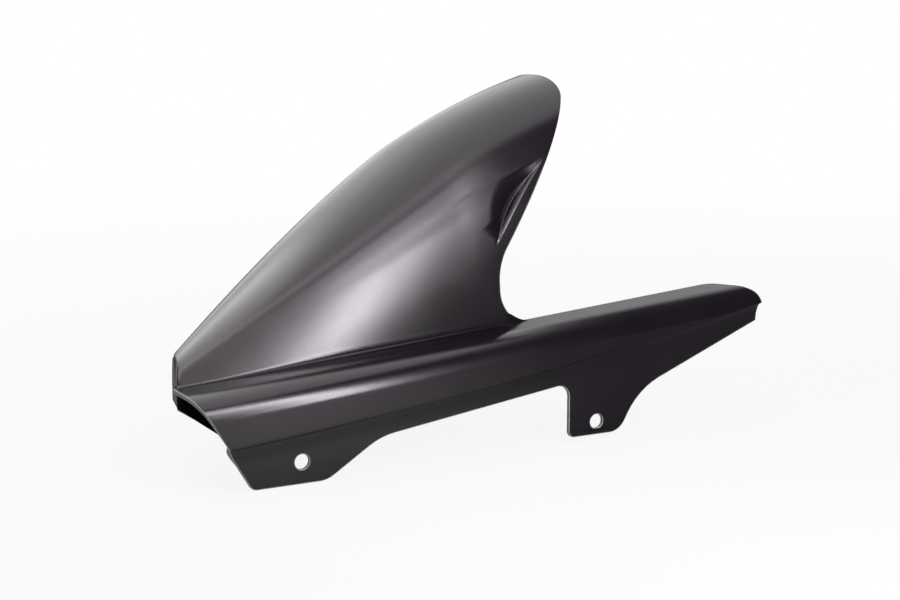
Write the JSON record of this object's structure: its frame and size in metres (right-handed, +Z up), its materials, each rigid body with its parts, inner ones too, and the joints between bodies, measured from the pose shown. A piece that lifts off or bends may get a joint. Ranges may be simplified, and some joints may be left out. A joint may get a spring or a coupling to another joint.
{
  "type": "motorcycle rear fender",
  "caption": "Moulded rear tyre hood with a built-in chain guard along one side, drilled tabs for fixing to a swingarm and a scooped, raked rear edge.",
  "frame": {"origin": "midway between the two fixing holes, on the outer face of the flange", "axes": "+X towards the rear of the motorcycle, +Y from the chain side into the wheel, +Z up"},
  "size_m": [0.3674, 0.206, 0.2118],
  "materials": {
    "moulding": "satin black ABS, fine grain"
  },
  "bodies": {
    "root": {"rear_fender": "moulding"}
  },
  "joints": []
}
